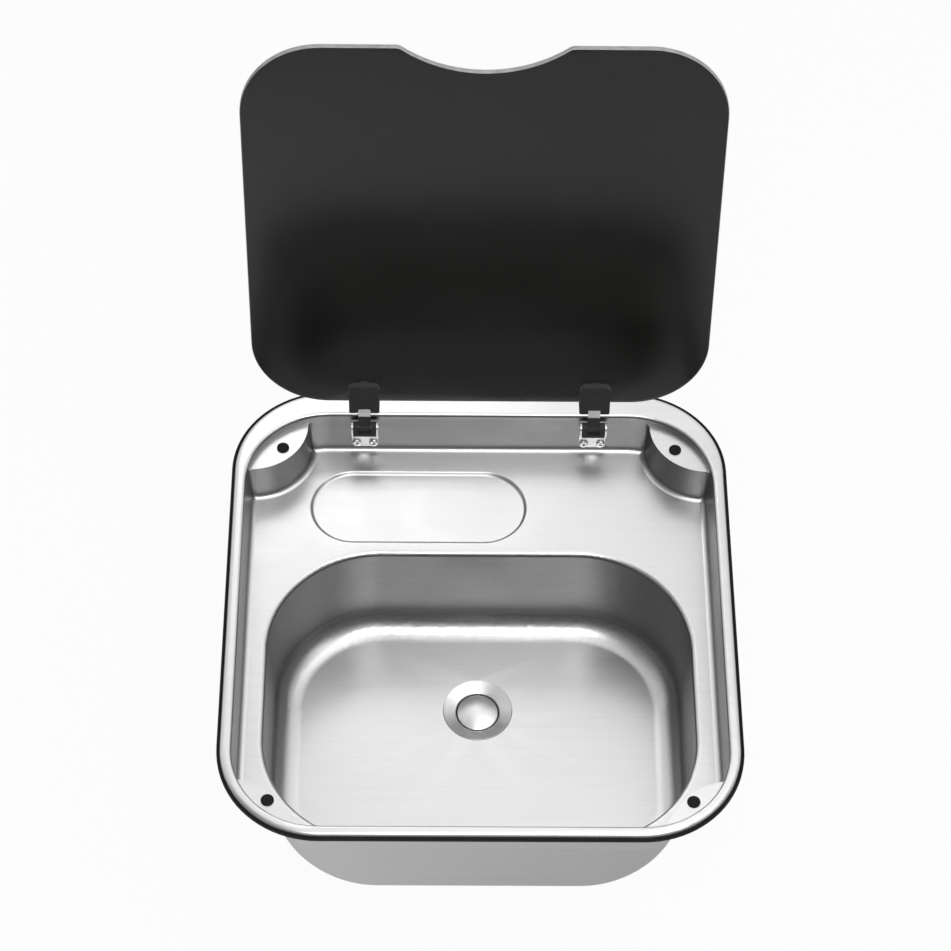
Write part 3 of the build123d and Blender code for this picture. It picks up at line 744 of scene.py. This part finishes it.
@dataclass
class LidAssembly(Assembly):
    """Glass lid with its ground edge."""

    hinge: str = "lid_hinge"
    face_match: float = 0.9

    def lean(self) -> float:
        """Returns how far the open lid leans back past upright, in degrees."""
        joints = frame["record"]["behaviour"]["joints"]
        closing = next(joint["range_deg"][1] for joint in joints if joint["name"] == self.hinge)
        return closing - UPRIGHT

    def build(self) -> None:
        """Makes the pane and gives its edge and its underside finishes of their own."""
        glass = self.dress("glass_lid")
        for finish in (GLASS_EDGE, GLASS_UNDER):
            glass.data.materials.append(finish.material())
        edge_place, under_place = 1, 2
        lean = radians(self.lean())
        under = Vector((0.0, -cos(lean), sin(lean)))
        for face in glass.data.polygons:
            facing = face.normal.dot(under)
            if abs(facing) < self.face_match:
                face.material_index = edge_place
            elif facing > 0:
                face.material_index = under_place


@dataclass
class HingeAssembly(Assembly):
    """One of the two hinges: bracket, base block, pin, arm, leaf and clamp."""

    side: str = "left"
    parts: tuple[str, ...] = (
        "bracket",
        "base_block",
        "pin",
        "arm",
        "leaf",
        "clamp_block",
        "clamp_cap",
        "inner_gasket",
        "outer_gasket",
        "bush",
    )

    def build(self) -> None:
        """Makes the hinge's pieces."""
        for part in self.parts:
            self.dress(f"{self.side}_{part}")


@dataclass
class Fasteners(Assembly):
    """Screws, washers and nuts of both hinges."""

    parts: tuple[str, ...] = ("hinge_screws", "hinge_washers", "hinge_nuts", "clamp_screws")


@dataclass
class WasteAssembly(Assembly):
    """Waste fitting under the basin, with a thread on its tube."""

    parts: tuple[str, ...] = (
        "waste_top_seal",
        "waste_flange",
        "waste_bottom_seal",
        "waste_back_nut",
        "outlet_washer",
        "outlet_cup",
        "union_nut",
    )
    outlet: str = "waste_outlet"
    tube_r: float = 20.0 * MM
    pitch: float = 2.2 * MM
    ridge: float = 0.55 * MM
    ridge_foot: float = 0.42
    ridge_sunk: float = 0.1 * MM
    gap_above: float = 0.5 * MM
    gap_below: float = 0.2 * MM
    steps_per_turn: int = 64

    def thread(self) -> bpy.types.Object:
        """Winds a ridge up the bare stretch of the tube, from the union nut to the back nut.

        Returns:
            The thread.
        """
        mounts = frame["record"]["mounts"]
        x, y, _ = next(mount["pos_m"] for mount in mounts if mount["name"] == self.outlet)
        top = node_heights("waste_back_nut")[0] - self.gap_above - self.pitch / 2
        low = node_heights("union_nut")[1] + self.gap_below + self.pitch / 2
        turns = (top - low) / self.pitch
        half = self.pitch * self.ridge_foot
        inside = self.tube_r - self.ridge_sunk
        bm = bmesh.new()
        corners = [
            bm.verts.new((x + inside, y, low - half)),
            bm.verts.new((x + self.tube_r + self.ridge, y, low)),
            bm.verts.new((x + inside, y, low + half)),
        ]
        face = bm.faces.new(corners)
        steps = round(turns * self.steps_per_turn)
        bmesh.ops.spin(
            bm,
            geom=[*corners, *face.edges, face],
            cent=(x, y, 0.0),
            axis=(0.0, 0.0, 1.0),
            dvec=(0.0, 0.0, turns * self.pitch / steps),
            angle=2 * pi * turns,
            steps=steps,
            use_duplicate=False,
        )
        bmesh.ops.holes_fill(bm, edges=bm.edges, sides=len(corners))
        bmesh.ops.recalc_face_normals(bm, faces=bm.faces)
        return finished_piece("waste_thread", bm, Body.SINK, Slot.BRIGHT_STEEL, self.crease)

    def build(self) -> None:
        """Makes the fitting's pieces and its thread."""
        super().build()
        self.thread()


@dataclass
class PlugAssembly(Assembly):
    """Plug with its dome, seal and stem."""

    parts: tuple[str, ...] = ("plug_dome", "plug_seal", "plug_stem")


# ---------------------------------------------------------------- studio
@dataclass(frozen=True)
class Lamp:
    """A square soft light: its name, where it hangs, its side in metres and its watts."""

    name: str
    place: tuple[float, float, float]
    size: float
    power: float


def mirrored_rays(pen: Pen, path: bpy.types.Node) -> bpy.types.NodeSocket:
    """Returns a mask of the rays that come off a gloss or through the glass."""
    return pen.maths("MAXIMUM", path.outputs["Is Glossy Ray"], path.outputs["Is Transmission Ray"])


@dataclass
class Studio:
    """Floor, lamps, surroundings and the photograph's viewpoint."""

    floor_gap: float = 0.9 * MM
    floor_size: float = 6.0
    floor_grey: float = 0.8
    floor_white: float = 0.945
    pool_white: float = 0.9
    pool_centre: tuple[float, float] = (-0.5, -0.5)
    pool_core: float = 0.2
    pool_reach: float = 0.75
    backdrop_white: float = 0.86
    backdrop_rear: float = -0.5
    backdrop_front: float = 0.1
    room_white: float = 0.25
    room_light: float = 0.45
    lamps: tuple[Lamp, ...] = (
        Lamp("overhead", (0.45, -0.05, 1.5), size=1.2, power=5.5),
        Lamp("front", (0.1, -0.9, 1.4), size=0.6, power=8.0),
        Lamp("front_right", (1.5, -0.6, 1.2), size=0.6, power=2.0),
        Lamp("behind", (-0.2, 1.5, 1.5), size=0.6, power=2.0),
    )
    lamp_aim: tuple[float, float, float] = (0.0, -0.02, -0.1)
    lens: float = 111.02
    sensor: float = 36.0
    elevation: float = 53.902
    azimuth: float = -1.201
    roll: float = 1.291
    distance: float = 2.493389
    target: tuple[float, float, float] = (-0.003283, 0.133273, 0.0)

    def floor_paint(self, floor_z: float) -> bpy.types.Material:
        """Makes a pale matt paint, with a pool of light that only reflections pick up.

        Args:
            floor_z: Height of the floor.

        Returns:
            The material.
        """
        paint = bpy.data.materials.new("floor_paint")
        paint.use_nodes = True
        pen = Pen(paint.node_tree)
        grey = (self.floor_grey, self.floor_grey, self.floor_grey, 1.0)
        matt = pen.node("ShaderNodeBsdfDiffuse", {"Color": grey})
        white = pen.node("ShaderNodeEmission", {"Color": WHITE, "Strength": 1.0})
        where = pen.node("ShaderNodeTexCoord").outputs["Object"]
        values = {0: where, 1: (*self.pool_centre, floor_z)}
        away = pen.node("ShaderNodeVectorMath", values, operation="DISTANCE").outputs["Value"]
        pool = pen.spread(away, self.pool_core, self.pool_reach, self.pool_white, 0.0)
        path = pen.node("ShaderNodeLightPath")
        mirrored = pen.maths("MULTIPLY", mirrored_rays(pen, path), pool)
        direct = pen.maths("MULTIPLY", path.outputs["Is Camera Ray"], self.floor_white)
        seen = pen.maths("MAXIMUM", mirrored, direct)
        both = pen.node("ShaderNodeMixShader", {0: seen, 1: matt.outputs[0], 2: white.outputs[0]})
        pen.node("ShaderNodeOutputMaterial", {"Surface": both.outputs[0]})
        return paint

    def floor(self) -> None:
        """Lays the floor just under the waste's outlet."""
        floor_z = node_heights("outlet_cup")[0] - self.floor_gap
        bm = bmesh.new()
        bmesh.ops.create_grid(bm, x_segments=2, y_segments=2, size=self.floor_size)
        bmesh.ops.translate(bm, verts=bm.verts, vec=(0.0, 0.0, floor_z))
        mesh = bpy.data.meshes.new("floor")
        bm.to_mesh(mesh)
        bm.free()
        mesh.materials.append(self.floor_paint(floor_z))
        floor = bpy.data.objects.new("floor", mesh)
        bpy.context.scene.collection.objects.link(floor)

    def world(self) -> None:
        """Sets surroundings that mirror pale from behind the object and dim from its front.

        The camera sees them white, and as a light they are even and soft.
        """
        world = bpy.data.worlds.new("surroundings")
        bpy.context.scene.world = world
        world.use_nodes = True
        pen = Pen(world.node_tree)
        where = pen.node("ShaderNodeTexCoord").outputs["Generated"]
        ahead = pen.node("ShaderNodeSeparateXYZ", {0: where}).outputs["Y"]
        forward = pen.maths("MULTIPLY", ahead, -1.0)
        front = pen.spread(forward, self.backdrop_rear, self.backdrop_front)
        room = pen.blend(front, self.backdrop_white, self.room_white)
        path = pen.node("ShaderNodeLightPath")
        soft = pen.blend(mirrored_rays(pen, path), self.room_light, room)
        strength = pen.blend(path.outputs["Is Camera Ray"], soft, 1.0)
        glow = pen.node("ShaderNodeBackground", {"Color": WHITE, "Strength": strength})
        pen.node("ShaderNodeOutputWorld", {"Surface": glow.outputs[0]})

    def hang(self, lamp: Lamp) -> None:
        """Hangs a lamp so that it faces the basin."""
        light = bpy.data.lights.new(lamp.name, "AREA")
        light.shape = "SQUARE"
        light.size = lamp.size
        light.energy = lamp.power
        holder = bpy.data.objects.new(lamp.name, light)
        holder.location = lamp.place
        back = Vector(lamp.place) - Vector(self.lamp_aim)
        holder.rotation_euler = back.to_track_quat("Z", "Y").to_euler()
        bpy.context.scene.collection.objects.link(holder)

    def camera(self) -> None:
        """Puts the camera at the photograph's viewpoint."""
        lift, turn, roll = radians(self.elevation), radians(self.azimuth), radians(self.roll)
        back = Vector((sin(turn) * cos(lift), -cos(turn) * cos(lift), sin(lift)))
        level = Vector((0.0, 0.0, 1.0)).cross(back).normalized()
        rise = back.cross(level)
        right = level * cos(roll) + rise * sin(roll)
        up = rise * cos(roll) - level * sin(roll)
        data = bpy.data.cameras.new("camera")
        data.lens = self.lens
        data.sensor_width = self.sensor
        camera = bpy.data.objects.new("camera", data)
        pose = Matrix((right, up, back)).transposed().to_4x4()
        pose.translation = Vector(self.target) + back * self.distance
        camera.matrix_world = pose
        bpy.context.scene.collection.objects.link(camera)
        bpy.context.scene.camera = camera

    def build(self) -> None:
        """Sets the whole studio up."""
        self.floor()
        self.world()
        for lamp in self.lamps:
            self.hang(lamp)
        self.camera()
        bpy.context.scene.view_settings.view_transform = "Standard"


def main() -> None:
    """Builds the sub-assemblies in order, then the studio."""
    logging.basicConfig(level=logging.INFO, format="%(name)s: %(message)s")
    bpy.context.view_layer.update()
    PanAssembly().build()
    LidAssembly().build()
    for side in ("left", "right"):
        HingeAssembly(side=side).build()
    Fasteners().build()
    WasteAssembly().build()
    PlugAssembly().build()
    Studio().build()


if __name__ == "__main__":
    main()
